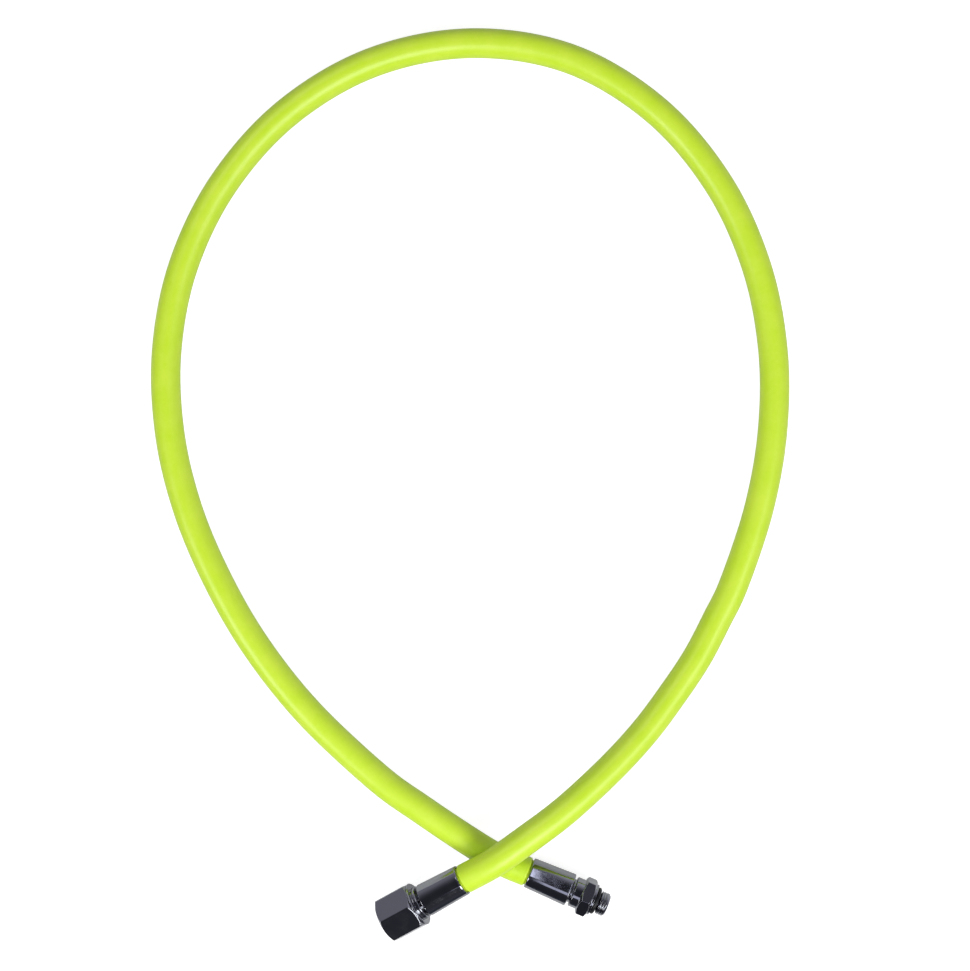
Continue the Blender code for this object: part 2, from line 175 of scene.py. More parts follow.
def ringsUv(rings, angles):
    # u is the angle times the piece's mean radius, and v the length along the profile at
    # the first angle, both with one more column or row that closes the loop.
    line = np.concatenate([rings[:, 0], rings[:1, 0]])
    along = np.concatenate([[0], np.cumsum(np.linalg.norm(np.diff(line, axis=0), axis=1))])
    around = np.append(angles, angles[0] + 2 * math.pi) * rings[..., 0].mean()
    v, u = np.meshgrid(along, around, indexing="ij")
    return np.stack([u, v], axis=-1)


def turnedPiece(name, rings, angles, end, roll=0.0):
    return loopMesh(name, placedRings(rings, angles, end, roll), ringsUv(rings, angles))


evenAngles = np.arange(sides) * 2 * math.pi / sides


# Hose: the cord, along the same route as the solids
hoseLook = {
    "ringSpacing": 2.5 * mm,
    "neckSpacing": 0.2 * mm,  # closer rings where it narrows into a ferrule
    "around": 48,
    "maleStraight": 11.0 * mm,
    "femaleStraight": 15.0 * mm,
    "mouthRadius": 5.2 * mm,  # squeezed by the ferrule, at its mouth and at its end
    "endRadius": 5.61 * mm,
    "stretchedBore": 3.75 * mm,
    "neckLength": 1.1 * mm,
}

hoseRoute = [
    (-0.0083, 0.0222, 0.0060),
    (-0.0292, 0.0361, 0.0060),
    (-0.0478, 0.0496, 0.0060),
    (-0.0762, 0.0764, 0.0060),
    (-0.0977, 0.1037, 0.0060),
    (-0.1137, 0.1316, 0.0060),
    (-0.1257, 0.1606, 0.0060),
    (-0.1328, 0.1916, 0.0060),
    (-0.1338, 0.2249, 0.0060),
    (-0.1269, 0.2593, 0.0060),
    (-0.1106, 0.2925, 0.0060),
    (-0.0847, 0.3214, 0.0060),
    (-0.0500, 0.3419, 0.0060),
    (-0.0097, 0.3499, 0.0060),
    (0.0310, 0.3436, 0.0060),
    (0.0660, 0.3228, 0.0060),
    (0.0916, 0.2930, 0.0060),
    (0.1073, 0.2592, 0.0060),
    (0.1142, 0.2248, 0.0060),
    (0.1141, 0.1916, 0.0060),
    (0.1086, 0.1599, 0.0060),
    (0.0985, 0.1292, 0.0060),
    (0.0913, 0.1141, 0.0061),
    (0.0832, 0.0987, 0.0066),
    (0.0730, 0.0837, 0.0079),
    (0.0613, 0.0686, 0.0102),
    (0.0472, 0.0540, 0.0135),
    (0.0289, 0.0379, 0.0174),
    (0.0125, 0.0259, 0.0192),
]


def smoothRoute(points, samples=24):
    # Catmull-Rom curve through all but the first and last point: with a, b, c, d in a row,
    # (2b + (c-a)t + (2a-5b+4c-d)t^2 + (3b-a-3c+d)t^3) / 2 for t from 0 to 1.
    p = np.asarray(points, float)
    a, b, c, d = (p[k : len(p) - 3 + k][:, None] for k in range(4))
    t = (np.arange(samples) / samples)[None, :, None]
    curve = 2 * b + (c - a) * t + (2 * a - 5 * b + 4 * c - d) * t**2
    curve = (curve + (3 * b - a - 3 * c + d) * t**3) / 2
    return np.concatenate([curve.reshape(-1, 3), p[-2:-1]])


def lengthsAlong(points):
    return np.concatenate([[0], np.cumsum(np.linalg.norm(np.diff(points, axis=0), axis=1))])


def makeHose(look):
    # A tube swept along the route: centre(s) + r(s) (cos(q) side + sin(q) up), with side
    # and up square to the run. The outside goes one way and the bore comes back inside it.
    # r(s) is the squeezed radius in the ferrules, and eases to the full one outside them.
    male, female = maleEnd, femaleEnd
    control = [onAxis(male, hoseEnd), onAxis(male, 0), onAxis(male, -look["maleStraight"])]
    control += [np.array(point) for point in hoseRoute]
    control += [onAxis(female, -look["femaleStraight"]), onAxis(female, 0), onAxis(female, hoseEnd)]
    loose = smoothRoute(control)
    loose[:, 2] = np.maximum(loose[:, 2], hoseRadius)
    line = np.concatenate([[onAxis(male, hoseEnd)], loose, [onAxis(female, hoseEnd)]])
    reach = lengthsAlong(line)
    total = reach[-1]

    neckReach = 3 * look["neckLength"]
    near = np.arange(hoseEnd - neckReach, hoseEnd + neckReach, look["neckSpacing"])
    even = np.linspace(0, total, round(total / look["ringSpacing"]) + 1)
    stations = np.unique(np.round(np.concatenate([even, near, total - near]), 6))
    centres = np.stack([np.interp(stations, reach, line[:, k]) for k in range(3)], axis=1)
    run = np.gradient(centres, stations, axis=0)
    run /= np.linalg.norm(run, axis=1)[:, None]
    side = np.cross(run, (0, 0, 1))
    side /= np.linalg.norm(side, axis=1)[:, None]
    up = np.cross(side, run)

    fromMouth = np.minimum(stations, total - stations) - hoseEnd  # positive outside a ferrule
    squeezed = np.interp(fromMouth, [-hoseEnd, 0], [look["endRadius"], look["mouthRadius"]])
    ease = np.clip((fromMouth - gap) / (look["neckLength"] - gap), 0, 1)
    ease = ease**2 * (3 - 2 * ease)
    outer = squeezed + (hoseRadius - squeezed) * ease
    inner = look["stretchedBore"] + (boreRadius - look["stretchedBore"]) * ease

    q = np.arange(look["around"]) * 2 * math.pi / look["around"]
    spoke = side[:, None] * np.cos(q)[None, :, None] + up[:, None] * np.sin(q)[None, :, None]
    outside = centres[:, None] + outer[:, None, None] * spoke
    inside = (centres[:, None] + inner[:, None, None] * spoke)[::-1]
    grid = np.concatenate([outside, inside])

    along = np.concatenate([stations, stations[::-1], stations[:1]])
    around = np.append(q, 2 * math.pi) * hoseRadius
    v, u = np.meshgrid(along, around, indexing="ij")
    hose = loopMesh("rubberHose", grid, np.stack([u, v], axis=-1))
    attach(hose, "hose_assembly")
    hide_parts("hose")
    print("hose", round(total, 4), "m long")
    return hose


hose = makeHose(hoseLook)


# Ferrules: thin crimped cups, with the faint flats that the crimping jaws leave
ferruleLook = {
    "mouthRadius": 6.3 * mm,
    "taper": 0.5 * mm,  # how much wider it is at its front
    "wall": 0.8 * mm,
    "endWall": 1.5 * mm,
    "edge": 0.4 * mm,
    "softEdge": 0.12 * mm,
    "holeRadius": 4.2 * mm,
    "jaws": 8,
    "jawDepth": 0.035 * mm,
    "rings": 40,
    "maleRoll": 0.2,  # where the first jaw stood, in radians from the top
    "femaleRoll": 0.5,
}


def makeFerrule(name, node, end, roll, look):
    # A spun cup. Its outer radius is the tapered one less
    # jawDepth (1 - |cos(jaws q / 2)|) sin(pi s / length), so each jaw leaves a shallow flat.
    front, edge, wall = ferruleFront, look["edge"], look["wall"]
    wide = look["mouthRadius"] + look["taper"]
    inside = front - look["endWall"]
    innerWide = look["mouthRadius"] + look["taper"] * inside / front - wall
    outline = softLine(
        [
            (look["mouthRadius"] - wall, 4 * edge),
            (look["mouthRadius"] - wall, 0),
            (look["mouthRadius"] - edge / 2, 0),
            (look["mouthRadius"], edge),
            (look["mouthRadius"] + look["taper"] * 0.5, front / 2),
            (wide, front - edge),
            (wide - edge, front),
            (look["holeRadius"], front),
            (look["holeRadius"], inside),
            (innerWide, inside),
            (innerWide - look["taper"] / 2, inside / 2),
        ],
        look["softEdge"],
    )
    # closer rings along the outer wall, where the jaws' marks are
    last = np.argmax((outline[:, 1] > front - edge * 1.5) & (outline[:, 0] > wide - edge))
    first = np.argmax((outline[:, 1] > edge * 1.5) & (outline[:, 0] > look["mouthRadius"]))
    stations = np.linspace(outline[first, 1], outline[last, 1], look["rings"])
    wallLine = np.stack([look["mouthRadius"] + look["taper"] * stations / front, stations], axis=1)
    outline = np.concatenate([outline[:first], wallLine, outline[last + 1 :]])
    rings = turnedRings(outline, evenAngles)
    marks = (1 - np.abs(np.cos(look["jaws"] * evenAngles / 2)))[None, :]
    swell = np.sin(math.pi * np.clip(outline[:, 1] / front, 0, 1))[:, None]
    onWall = (outline[:, 0] > look["mouthRadius"] + look["taper"] * 0.02)[:, None]
    rings[..., 0] -= look["jawDepth"] * marks * swell * onWall
    piece = turnedPiece(name, rings, evenAngles, end, roll)
    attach(piece, "hose_assembly")
    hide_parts(node)
    return piece


maleFerrule = makeFerrule(
    "maleFerruleShell", "male_ferrule", maleEnd, ferruleLook["maleRoll"], ferruleLook
)
femaleFerrule = makeFerrule(
    "femaleFerruleShell", "female_ferrule", femaleEnd, ferruleLook["femaleRoll"], ferruleLook
)
print("ferrules made")


# Barbed tails: alike on both stems
tailLook = {
    "radius": 3.0 * mm,
    "barbRadius": 3.45 * mm,
    "barbs": 4,
    "lockRadius": 4.6 * mm,
    "lockLength": 1.2 * mm,
    "grooveRadius": 3.9 * mm,
    "grooveBack": 16.4 * mm,
}


def tailLine(look):
    # Outer line of a stem from its tip in the hose to just past its ferrule.
    lockBack = look["grooveBack"] - look["lockLength"]
    pitch = (lockBack - tailTip) / (look["barbs"] + 1)
    crests = tailTip + pitch * np.arange(1, look["barbs"] + 1)
    barbs = [[(look["barbRadius"], c), (look["radius"], c)] for c in crests]
    line = [(gasRadius, tailTip), (look["radius"], tailTip)] + [p for barb in barbs for p in barb]
    line += [(look["radius"], lockBack), (look["lockRadius"], lockBack)]
    line += [(look["lockRadius"], look["grooveBack"]), (look["grooveRadius"], look["grooveBack"])]
    return line + [(look["grooveRadius"], ferruleFront + gap)]


def threadRings(angles, fromStation, toStation, radius, depth, pitch, crest, root=0.2, perTurn=16):
    # A right-handed thread. Its phase is station / pitch - angle / full turn, and a groove
    # sinks from the crest radius by depth * clamp((|2 phase - 1| - crest) / flank), where the
    # flank is what the crest and the root's share of the rest leave. A negative depth cuts
    # outwards. The groove fades in and out over half a pitch.
    turns = (toStation - fromStation) / pitch
    stations = np.linspace(fromStation, toStation, max(4, round(turns * perTurn)))
    phase = (stations[:, None] / pitch - angles[None, :] / (2 * math.pi)) % 1
    fromCrest = np.abs(2 * phase - 1)
    flank = (1 - crest) * (1 - root)
    groove = np.clip((fromCrest - crest) / flank, 0, 1)
    fade = np.clip(np.minimum(stations - fromStation, toStation - stations) / (pitch / 2), 0, 1)
    radii = radius - depth * groove * fade[:, None]
    return np.stack([radii, np.broadcast_to(stations[:, None], radii.shape)], axis=-1)


def hexAngles(perFace=24):
    # Angles round a hexagon whose first corner is at 0, closer together at its corners:
    # each face's offsets are 30 degrees * sin(k) for k from -90 to 90 degrees.
    k = np.linspace(-math.pi / 2, math.pi / 2, perFace + 1)[:-1]
    face = np.radians(30 + 30 * np.sin(k))
    return (np.radians(60 * np.arange(6))[:, None] + face[None, :]).ravel()


def hexRadius(angles, flat, cornerCut):
    # Distance from the middle to a hexagon's side, flat / cos(angle from the side's
    # middle), with each corner rounded off by cornerCut.
    offset = (np.asarray(angles) % (math.pi / 3)) - math.pi / 6
    return np.minimum(flat / np.cos(offset), 2 * flat / math.sqrt(3) - cornerCut)


def hexRings(angles, look):
    # The hexagon between two turned-off ends. At each end a cone grows from the radius
    # flat - gap and meets the sides where its own radius equals theirs, so that edge rises
    # to the corners in an arc. Each edge is two rings a little way either side of it.
    flat, soft = look["hexFlat"], hexSoftEdge
    start = flat - gap
    side = hexRadius(angles, flat, look["cornerCut"])
    growth = look["hexChamfer"] / (2 * flat / math.sqrt(3) - start)

    def ring(radius, depth):
        return np.stack([radius * np.ones_like(side), depth * np.ones_like(side)], axis=-1)

    def end(station, way):
        rings = [(start, 0 * side), (start + soft, growth * soft)]
        rings += [(side - 2 * soft, growth * (side - 2 * soft - start))]
        rings += [(side - soft, growth * (side - soft - start))]
        edge = growth * (side - start)
        rings += [(side, edge + soft), (side, edge + 2 * soft)]
        return [ring(r, station + way * d) for r, d in rings]

    back, front = look["hexBack"], look["hexFront"]
    return np.stack(end(back, 1) + end(front, -1)[::-1])


# Male end: one turned bar, with a wrench hexagon and a 3/8-24 thread
maleLook = {
    "neckRadius": 4.9 * mm,
    "collarBack": 19.2 * mm,
    "collarRadius": 6.2 * mm,
    "collarEdge": 0.4 * mm,
    "hexBack": 22.8 * mm,
    "hexFront": 27.5 * mm,
    "hexFlat": 7.1425 * mm,
    "hexChamfer": 0.8 * mm,
    "cornerCut": 0.06 * mm,
    "roll": 5.0,  # degrees; one corner stands this far round from the top
    "shoulderRadius": 6.4025 * mm,
    "shoulderFront": 28.45 * mm,
    "seatRimRadius": 5.8025 * mm,
    "seatDepth": 0.3 * mm,
    "seatRadius": 3.6225 * mm,
    "seatFront": 30.43 * mm,
    "reliefRun": 0.4 * mm,
    "threadRadius": 4.7625 * mm,
    "threadDepth": 0.26 * mm,
    "threadPitch": 25.4 / 24 * mm,
    "threadCrest": 0.5,
    "threadChamfer": 0.9 * mm,
    "front": 34.43 * mm,
}


def makeMaleStem(look):
    # A spun profile, with the hexagon's rings and the thread's rings set in between.
    angles, soft = hexAngles(), softEdge
    relief = look["seatFront"] + look["reliefRun"]
    back = softLine(
        tailLine(tailLook)
        + [
            (look["neckRadius"], ferruleFront + gap),
            (look["neckRadius"], look["collarBack"]),
            (look["collarRadius"] - look["collarEdge"], look["collarBack"]),
            (look["collarRadius"], look["collarBack"] + look["collarEdge"]),
            (look["collarRadius"], look["hexBack"] - soft),
            (look["collarRadius"] + soft, look["hexBack"]),
        ],
        soft,
    )
    shoulder = softLine(
        [
            (look["shoulderRadius"] + soft, look["hexFront"]),
            (look["shoulderRadius"], look["hexFront"] + soft),
            (look["shoulderRadius"], look["shoulderFront"]),
            (look["seatRimRadius"], look["shoulderFront"]),
            (look["seatRimRadius"], look["shoulderFront"] - look["seatDepth"]),
            (look["seatRadius"], look["shoulderFront"] - look["seatDepth"]),
            (look["seatRadius"], look["seatFront"]),
            (look["threadRadius"], relief),
        ],
        soft,
    )
    threadEnd = look["front"] - look["threadChamfer"]
    thread = threadRings(
        angles,
        relief + soft,
        threadEnd,
        look["threadRadius"],
        look["threadDepth"],
        look["threadPitch"],
        look["threadCrest"],
    )
    tip = softLine(
        [
            (look["threadRadius"], threadEnd + soft / 2),
            (look["threadRadius"] - look["threadChamfer"], look["front"]),
            (gasRadius + soft, look["front"]),
            (gasRadius, look["front"] - soft),
            (gasRadius, tailTip + soft),
        ],
        soft,
    )
    parts = [turnedRings(back, angles), hexRings(angles, look), turnedRings(shoulder, angles)]
    parts += [thread, turnedRings(tip, angles)]
    rings, roll = np.concatenate(parts), math.radians(look["roll"])
    piece = turnedPiece("maleStemTurned", rings, angles, maleEnd, roll)
    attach(piece, "hose_assembly")
    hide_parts("male_stem")
    return piece


maleStem = makeMaleStem(maleLook)
print("male end made")


# Female end: the stem that the nut turns on
femaleLook = {
    "shaftRadius": 4.995 * mm,
    "flangeRadius": 6.095 * mm,
    "flangeBack": 22.4 * mm,
    "noseBack": 24.4 * mm,
    "noseRadius": 4.5 * mm,
    "noseFront": 30.0 * mm,
    "noseLand": 1.6 * mm,
    "noseChamfer": 0.5 * mm,
    "grooveRadius": 2.835 * mm,
    "ringRoom": 2.18 * mm,  # the O-ring's section and its play on both sides
}


def makeFemaleStem(look):
    # A spun profile: tail, shaft, flange, and a nose with the O-ring's groove.
    grooveFront = look["noseFront"] - look["noseLand"]
    grooveBack = grooveFront - look["ringRoom"]
    line = softLine(
        tailLine(tailLook)
        + [
            (look["shaftRadius"], ferruleFront + gap),
            (look["shaftRadius"], look["flangeBack"]),
            (look["flangeRadius"], look["flangeBack"]),
            (look["flangeRadius"], look["noseBack"]),
            (look["noseRadius"], look["noseBack"]),
            (look["noseRadius"], grooveBack),
            (look["grooveRadius"], grooveBack),
            (look["grooveRadius"], grooveFront),
            (look["noseRadius"], grooveFront),
            (look["noseRadius"], look["noseFront"] - look["noseChamfer"]),
            (look["noseRadius"] - look["noseChamfer"], look["noseFront"]),
            (gasRadius, look["noseFront"]),
            (gasRadius, tailTip + gap),
        ],
        softEdge,
    )
    piece = turnedPiece("femaleStemTurned", turnedRings(line, evenAngles), evenAngles, femaleEnd)
    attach(piece, "hose_assembly")
    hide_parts("female_stem")
    return piece


femaleStem = makeFemaleStem(femaleLook)


# Swivel nut: a hexagon with a thin collar and a hub behind it, and a 9/16-18 thread inside
nutLook = {
    "back": 19.1 * mm,
    "hubRadius": 6.895 * mm,
    "hubEdge": 0.3 * mm,
    "collarBack": 20.8 * mm,
    "collarRadius": 9.03 * mm,
    "collarEdge": 0.4 * mm,
    "rearSoftEdge": 0.15 * mm,
    "hexBack": 21.5 * mm,
    "hexFront": 36.7 * mm,
    "hexFlat": 8.73 * mm,
    "hexChamfer": 1.1 * mm,
    "cornerCut": 0.08 * mm,
    "rearHole": 5.295 * mm,
    "rearWall": 3.0 * mm,
    "reliefLength": 2.4 * mm,
    "threadRadius": 6.445 * mm,
    "threadDepth": 0.7 * mm,
    "threadPitch": 25.4 / 18 * mm,
    "threadCrest": 0.25,
    "roll": 14.0,  # degrees; one corner stands this far round from the top
}


def makeNut(look):
    # Collar, hexagon, front face, thread and rear bore, one loop of rings.
    angles, soft = hexAngles(), softEdge
    major = look["threadRadius"] + look["threadDepth"]
    wallFront = look["back"] + look["rearWall"]
    reliefFront = wallFront + look["reliefLength"]
    collar = softLine(
        [
            (look["rearHole"], look["back"] + 3 * soft),
            (look["rearHole"], look["back"]),
            (look["hubRadius"] - look["hubEdge"], look["back"]),
            (look["hubRadius"], look["back"] + look["hubEdge"]),
            (look["hubRadius"], look["collarBack"]),
            (look["collarRadius"] - look["collarEdge"], look["collarBack"]),
            (look["collarRadius"], look["collarBack"] + look["collarEdge"]),
            (look["collarRadius"], look["hexBack"]),
            (look["hexFlat"] - gap - soft, look["hexBack"]),
        ],
        look["rearSoftEdge"],
    )
    threadBack = reliefFront + look["threadDepth"]
    threadFront = look["hexFront"] - look["threadDepth"]
    mouth = softLine(
        [
            (look["hexFlat"] - gap - soft, look["hexFront"]),
            (major, look["hexFront"]),
            (look["threadRadius"], threadFront),
        ],
        soft,
    )
    thread = threadRings(
        angles,
        threadBack,
        threadFront - soft,
        look["threadRadius"],
        -look["threadDepth"] + soft,
        look["threadPitch"],
        look["threadCrest"],
    )[::-1]
    rear = softLine(
        [
            (look["threadRadius"], threadBack - soft / 2),
            (major, reliefFront),
            (major, wallFront),
            (look["rearHole"], wallFront),
            (look["rearHole"], look["back"] + 6 * soft),
        ],
        soft,
    )
    parts = [turnedRings(collar, angles), hexRings(angles, look), turnedRings(mouth, angles)]
    parts += [thread, turnedRings(rear, angles)]
    rings, roll = np.concatenate(parts), math.radians(look["roll"])
    piece = turnedPiece("swivelNutHexagon", rings, angles, femaleEnd, roll)
    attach(piece, "nut")
    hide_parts("swivel_nut")
    return piece


nut = makeNut(nutLook)
print("female end and nut made")


# O-rings
ringLook = {"section": 1.78 * mm, "sectionSteps": 20}
femaleRing = {"node": "female_o_ring", "end": femaleEnd, "middle": 3.925 * mm, "back": 26.42 * mm}
maleRing = {"node": "male_o_ring", "end": maleEnd, "middle": 4.7125 * mm, "back": 28.4 * mm}


def makeRing(name, place, look):
    # A round section (middle + c cos(k), back + c + c sin(k)) spun about the axis.
    c = look["section"] / 2
    k = np.arange(look["sectionSteps"]) * 2 * math.pi / look["sectionSteps"]
    line = np.stack([place["middle"] + c * np.cos(k), place["back"] + c - c * np.sin(k)], axis=1)
    piece = turnedPiece(name, turnedRings(line, evenAngles), evenAngles, place["end"])
    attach(piece, "hose_assembly")
    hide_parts(place["node"])
    return piece


femaleSeal = makeRing("femaleNoseSeal", femaleRing, ringLook)
maleSeal = makeRing("maleShoulderSeal", maleRing, ringLook)
print("seals made")


# Materials
waveLength = 0.314  # metres from crest to crest of a wave texture whose scale is 1


def linear(code):
    # An sRGB hex colour as linear red, green and blue, each
    # c / 12.92 up to 0.04045 and ((c + 0.055) / 1.055)^2.4 above it.
    parts = [int(code[k : k + 2], 16) / 255 for k in (1, 3, 5)]
    parts = [c / 12.92 if c <= 0.04045 else ((c + 0.055) / 1.055) ** 2.4 for c in parts]
    return (*parts, 1.0)


def addNode(tree, kind, values=None, links=None, **settings):
    # Adds a node with its settings, its sockets' own values, and links into them.
    node = tree.nodes.new(kind)
    for name, value in settings.items():
        setattr(node, name, value)
    for socket, value in (values or {}).items():
        node.inputs[socket].default_value = value
    for socket, source in (links or {}).items():
        tree.links.new(source, node.inputs[socket])
    return node


def newMaterial(name):
    material = bpy.data.materials.new(name)
    material.use_nodes = True
    tree = material.node_tree
    tree.nodes.clear()
    return material, tree


# Vulcanised rubber, extruded and cured under a cloth wrap: satin, evenly dyed, with a soft
# broad highlight, faint cloudy patches and the wrap's fine imprint
rubberLook = {
    "colour": "#bdde28",
    "cloud": "#c5e13a",
    "cloudSize": 11 * mm,
    "cloudRoughness": 0.55,
    "speckSize": 1.6 * mm,
    "speckRoughness": 0.6,
    "speckShare": 0.35,  # added to the cloud's noise
    "cloudRange": (0.50, 0.85),  # of that sum, from no cloud to full cloud
    "weave": 1.0 * mm,  # the real imprint is half this, too fine to show
    "weaveHeight": 0.012 * mm,
    "weaveStrength": 0.5,
    "grain": 0.5 * mm,
    "grainHeight": 0.010 * mm,
    "grainStrength": 0.6,
    "roughness": (0.34, 0.44),
}


def makeRubber(look):
    material, tree = newMaterial("vulcanisedHoseRubber")
    at = addNode(tree, "ShaderNodeUVMap", uv_map="surface").outputs["UV"]
    cloud = addNode(
        tree,
        "ShaderNodeTexNoise",
        {"Scale": 1 / look["cloudSize"], "Detail": 3.0, "Roughness": look["cloudRoughness"]},
        {"Vector": at},
    )
    speck = addNode(
        tree,
        "ShaderNodeTexNoise",
        {"Scale": 1 / look["speckSize"], "Detail": 2.0, "Roughness": look["speckRoughness"]},
        {"Vector": at},
    )
    mixed = addNode(
        tree,
        "ShaderNodeMath",
        {1: look["speckShare"]},
        {0: speck.outputs["Fac"], 2: cloud.outputs["Fac"]},
        operation="MULTIPLY_ADD",
    )
    share = addNode(
        tree,
        "ShaderNodeMapRange",
        {"From Min": look["cloudRange"][0], "From Max": look["cloudRange"][1]},
        {"Value": mixed.outputs["Value"]},
    )
    colour = addNode(
        tree,
        "ShaderNodeMix",
        {"A": linear(look["colour"]), "B": linear(look["cloud"])},
        {"Factor": share.outputs["Result"]},
        data_type="RGBA",
    )
    smooth = addNode(
        tree,
        "ShaderNodeMapRange",
        {"To Min": look["roughness"][0], "To Max": look["roughness"][1]},
        {"Value": speck.outputs["Fac"]},
    )
    weave = []
    for direction in ("X", "Y"):
        weave.append(
            addNode(
                tree,
                "ShaderNodeTexWave",
                {"Scale": waveLength / look["weave"]},
                {"Vector": at},
                bands_direction=direction,
            )
        )
    cloth = addNode(
        tree,
        "ShaderNodeMath",
        {},
        {0: weave[0].outputs["Fac"], 1: weave[1].outputs["Fac"]},
        operation="MULTIPLY",
    )
    imprint = addNode(
        tree,
        "ShaderNodeBump",
        {"Strength": look["weaveStrength"], "Distance": look["weaveHeight"]},
        {"Height": cloth.outputs["Value"]},
    )
    grain = addNode(
        tree,
        "ShaderNodeTexNoise",
        {"Scale": 1 / look["grain"], "Detail": 2.0},
        {"Vector": at},
    )
    skin = addNode(
        tree,
        "ShaderNodeBump",
        {"Strength": look["grainStrength"], "Distance": look["grainHeight"]},
        {"Height": grain.outputs["Fac"], "Normal": imprint.outputs["Normal"]},
    )
    shader = addNode(
        tree,
        "ShaderNodeBsdfPrincipled",
        {"IOR": 1.5, "Specular IOR Level": 0.5},
        {
            "Base Color": colour.outputs["Result"],
            "Roughness": smooth.outputs["Result"],
            "Normal": skin.outputs["Normal"],
        },
    )
    addNode(tree, "ShaderNodeOutputMaterial", {}, {"Surface": shader.outputs["BSDF"]})
    return material


# Bright chrome plate over turned brass: dark mirror reflections of the room, with the
# lathe's fine rings under the plate and a slight waviness from polishing
chromeLook = {
    "colour": "#8c8e93",
    "ringPitch": 0.30 * mm,  # the real feed marks are half this, too fine to show
    "ringHeight": 0.0006 * mm,
    "ringStrength": 0.4,
    "ringWander": 0.6,
    "waveSize": 4.0 * mm,
    "waveHeight": 0.03 * mm,
    "waveStrength": 0.5,
    "hazeRange": (0.35, 0.65),  # of the waves' noise, from the least haze to the most
    "roughness": (0.06, 0.11),
}


def makeChrome(look):
    material, tree = newMaterial("brightChromePlate")
    at = addNode(tree, "ShaderNodeUVMap", uv_map="surface").outputs["UV"]
    lathe = addNode(
        tree,
        "ShaderNodeTexWave",
        {
            "Scale": waveLength / look["ringPitch"],
            "Distortion": look["ringWander"],
            "Detail": 1.0,
        },
        {"Vector": at},
        bands_direction="Y",
    )
    rings = addNode(
        tree,
        "ShaderNodeBump",
        {"Strength": look["ringStrength"], "Distance": look["ringHeight"]},
        {"Height": lathe.outputs["Fac"]},
    )
    hand = addNode(
        tree,
        "ShaderNodeTexNoise",
        {"Scale": 1 / look["waveSize"], "Detail": 1.0},
        {"Vector": at},
    )
    polish = addNode(
        tree,
        "ShaderNodeBump",
        {"Strength": look["waveStrength"], "Distance": look["waveHeight"]},
        {"Height": hand.outputs["Fac"], "Normal": rings.outputs["Normal"]},
    )
    haze = addNode(
        tree,
        "ShaderNodeMapRange",
        {
            "From Min": look["hazeRange"][0],
            "From Max": look["hazeRange"][1],
            "To Min": look["roughness"][0],
            "To Max": look["roughness"][1],
        },
        {"Value": hand.outputs["Fac"]},
    )
    shader = addNode(
        tree,
        "ShaderNodeBsdfPrincipled",
        {"Base Color": linear(look["colour"]), "Metallic": 1.0},
        {"Roughness": haze.outputs["Result"], "Normal": polish.outputs["Normal"]},
    )
    addNode(tree, "ShaderNodeOutputMaterial", {}, {"Surface": shader.outputs["BSDF"]})
    return material


# Moulded nitrile rubber: near black, with a greasy half-gloss
nitrileLook = {
    "colour": "#0d0f11",
    "roughness": 0.40,
    "gloss": 0.3,
    "grain": 0.4 * mm,
    "grainHeight": 0.006 * mm,
    "grainStrength": 0.5,
}


def makeNitrile(look):
    material, tree = newMaterial("mouldedNitrileRubber")
    at = addNode(tree, "ShaderNodeUVMap", uv_map="surface").outputs["UV"]
    grain = addNode(
        tree, "ShaderNodeTexNoise", {"Scale": 1 / look["grain"], "Detail": 2.0}, {"Vector": at}
    )
    skin = addNode(
        tree,
        "ShaderNodeBump",
        {"Strength": look["grainStrength"], "Distance": look["grainHeight"]},
        {"Height": grain.outputs["Fac"]},
    )
    shader = addNode(
        tree,
        "ShaderNodeBsdfPrincipled",
        {
            "Base Color": linear(look["colour"]),
            "Roughness": look["roughness"],
            "Specular IOR Level": look["gloss"],
        },
        {"Normal": skin.outputs["Normal"]},
    )
    addNode(tree, "ShaderNodeOutputMaterial", {}, {"Surface": shader.outputs["BSDF"]})
    return material


hose.data.materials.append(makeRubber(rubberLook))
chrome = makeChrome(chromeLook)
for piece in (maleFerrule, femaleFerrule, maleStem, femaleStem, nut):
    piece.data.materials.append(chrome)
nitrile = makeNitrile(nitrileLook)
for piece in (femaleSeal, maleSeal):
    piece.data.materials.append(nitrile)
print("materials made")


# Stage: a white sheet in a dim room whose pale back wall stands low behind it, three soft
# lamps towards the front and a weak one behind, two pale panes close over the male end, and painted
# shade in front that only the metal mirrors
stageLook = {
    "floorSize": 3.0,
    "floorGlow": 0.85,  # what the camera sees of the sheet by itself
    "mirrorGlow": 0.30,  # and what the metal sees of it
    "floorColour": "#b3b3b3",
    "paintedShadeFront": -0.038,  # painted shade from here forwards: a dark sheet that only the metal's reflections see, in place of the lit floor
    "paintedShadeSize": (3.0, 1.6),
    "paintedShadeLift": 0.4 * mm,
    # the painted shade's colour, which the metal mirrors in place of the white floor
    "paintedShadeColour": "#40444d",
    "ceiling": "#3c3d45",
    "wall": "#e6e4f4",
    "wallWay": (0.60, 0.80),  # where the wall is palest, as seen from above
    "wallSides": (0.41, 0.52),  # the sum is its share there, and it is gone on the other side
    "wallTop": 0.96,  # how steeply up the wall's glow ends and is full, as the sine
    "wallFoot": 0.10,
    "lampSize": 0.8,
    "lampReach": 2.0,
    # bearing from above, height in degrees, and power
    "lamps": [(290, 50, 20), (215, 36, 18), (325, 45, 14), (130, 50, 6)],
    "lampAim": (0.0, 0.17, 0.0),
    # bearing, height, power, size and aim of each pane: one gives the streak along the
    # ferrule, and the other the bright patch beside the hose
    "panes": [
        (251, 65.5, 0.027, (0.060, 0.11), (0.0215, 0.0066, 0.0069)),
        (67, 70, 0.050, (0.012, 0.42), (-0.0080, 0.0200, 0.0124)),
    ],
    "paneReach": 0.35,
    "paneColour": (0.80, 0.80, 1.0),
}


